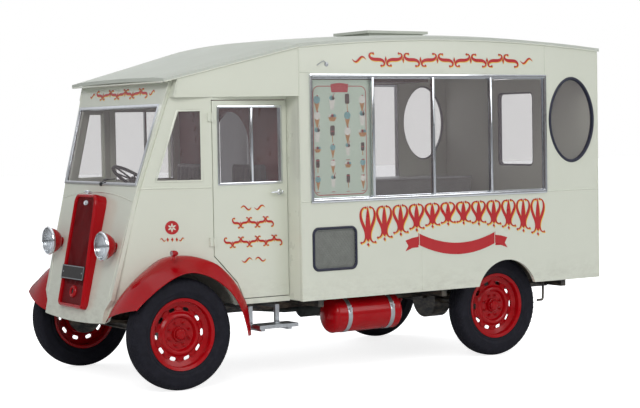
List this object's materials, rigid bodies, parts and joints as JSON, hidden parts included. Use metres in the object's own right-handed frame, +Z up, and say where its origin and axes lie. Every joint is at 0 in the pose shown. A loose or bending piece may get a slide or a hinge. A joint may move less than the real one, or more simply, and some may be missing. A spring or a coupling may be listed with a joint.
{
  "type": "ice cream truck",
  "caption": "Forward-control ice cream truck with a tapered cab, sprung chassis and a box body with glazed serving windows.",
  "frame": {"origin": "on the ground, below the middle of the whole truck", "axes": "+Z up, -Y ahead, +X to the left side of the truck"},
  "size_m": [2.152, 4.5989, 2.746],
  "materials": {
    "black_chassis": "satin black, dusty",
    "engine_iron": "painted cast iron",
    "red_paint": "gloss red paint",
    "tyre_rubber": "matte blue-black rubber",
    "floor_covering": "ribbed grey floor covering",
    "cream_paint": "gloss ivory paint",
    "window_glass": "clear glass in bright frames",
    "seal_rubber": "navy rubber",
    "vent_mesh": "expanded metal",
    "menu_panel": "pale green printed board",
    "bulkhead_red": "dark red paint",
    "bright_alloy": "bright alloy",
    "stainless": "brushed stainless steel",
    "shelf_wood": "stained wood",
    "seat_leather": "dark grey leathercloth",
    "black_plastic": "black",
    "lamp_red": "red lens",
    "plate_black": "black plate with a silver border, blank"
  },
  "bodies": {
    "root": {"chassis": "black_chassis", "engine_block": "engine_iron", "drive_shaft": "black_chassis", "leaf_springs": "black_chassis", "front_axle": "black_chassis", "rear_axle": "black_chassis", "floor": "floor_covering", "nose_panel": "cream_paint", "windscreen_surround": "cream_paint", "windscreen": "window_glass", "quarter_lights": "window_glass", "cab_side_left": "cream_paint", "cab_side_right": "cream_paint", "wing_left": "red_paint", "wing_right": "red_paint", "radiator_shell": "red_paint", "headlamps": "red_paint", "bulkhead": "bulkhead_red", "body_side_left": "cream_paint", "body_side_right": "cream_paint", "rear_panel": "cream_paint", "roof": "cream_paint", "roof_vent": "cream_paint", "serving_window_left": "window_glass", "serving_window_right": "window_glass", "oval_windows": "seal_rubber", "menu_board": "menu_panel", "vent_grilles": "vent_mesh", "gas_tank": "red_paint", "step_plates": "bright_alloy", "counter": "stainless", "ice_cream_machine": "stainless", "overhead_shelf": "shelf_wood", "seats": "seat_leather", "dashboard": "black_plastic", "steering_column": "black_chassis", "rear_lamps": "lamp_red", "number_plates": "plate_black"},
    "steering_wheel": {"steering_wheel": "black_plastic"},
    "knuckle_left": {"knuckle_left": "black_chassis"},
    "knuckle_right": {"knuckle_right": "black_chassis"},
    "door_left": {"door_left": "cream_paint", "door_window_left": "window_glass"},
    "door_right": {"door_right": "cream_paint", "door_window_right": "window_glass"},
    "rear_door": {"rear_door": "cream_paint", "rear_door_window": "window_glass"},
    "wheel_front_left": {"wheel_front_left": "red_paint", "tyre_front_left": "tyre_rubber"},
    "wheel_front_right": {"wheel_front_right": "red_paint", "tyre_front_right": "tyre_rubber"},
    "wheel_rear_left": {"wheel_rear_left": "red_paint", "tyre_rear_left": "tyre_rubber"},
    "wheel_rear_right": {"wheel_rear_right": "red_paint", "tyre_rear_right": "tyre_rubber"}
  },
  "joints": [
    {"name": "steer_left", "type": "hinge", "parent": "root", "child": "knuckle_left", "pos_m": [0.72, -1.79859, 0.42], "axis": [0, 0, 1], "range_deg": [-28, 28]},
    {"name": "steer_right", "type": "hinge", "parent": "root", "child": "knuckle_right", "pos_m": [-0.72, -1.79859, 0.42], "axis": [0, 0, 1], "range_deg": [-28, 28]},
    {"name": "front_left_spin", "type": "hinge", "parent": "knuckle_left", "child": "wheel_front_left", "pos_m": [0.845, -1.79859, 0.42], "axis": [1, 0, 0], "continuous": true},
    {"name": "rear_left_spin", "type": "hinge", "parent": "root", "child": "wheel_rear_left", "pos_m": [0.845, 1.18841, 0.42], "axis": [1, 0, 0], "continuous": true},
    {"name": "front_right_spin", "type": "hinge", "parent": "knuckle_right", "child": "wheel_front_right", "pos_m": [-0.845, -1.79859, 0.42], "axis": [1, 0, 0], "continuous": true},
    {"name": "rear_right_spin", "type": "hinge", "parent": "root", "child": "wheel_rear_right", "pos_m": [-0.845, 1.18841, 0.42], "axis": [1, 0, 0], "continuous": true},
    {"name": "steering_wheel_turn", "type": "hinge", "parent": "root", "child": "steering_wheel", "pos_m": [-0.42, -1.49859, 1.535], "axis": [0, 0.5736, 0.8191], "range_deg": [-450, 450]},
    {"name": "door_left_open", "type": "hinge", "parent": "root", "child": "door_left", "pos_m": [0.889, -1.50059, 1.5], "axis": [0, 0, -1], "range_deg": [0, 70]},
    {"name": "door_right_open", "type": "hinge", "parent": "root", "child": "door_right", "pos_m": [-0.889, -1.50059, 1.5], "axis": [0, 0, 1], "range_deg": [0, 70]},
    {"name": "rear_door_open", "type": "hinge", "parent": "root", "child": "rear_door", "pos_m": [-0.362, 2.21741, 1.5], "axis": [0, 0, 1], "range_deg": [0, 105]}
  ],
  "couplings": [
    {"joint": "steer_right", "follows": "steer_left", "ratio": 1},
    {"joint": "steering_wheel_turn", "follows": "steer_left", "ratio": 16}
  ]
}
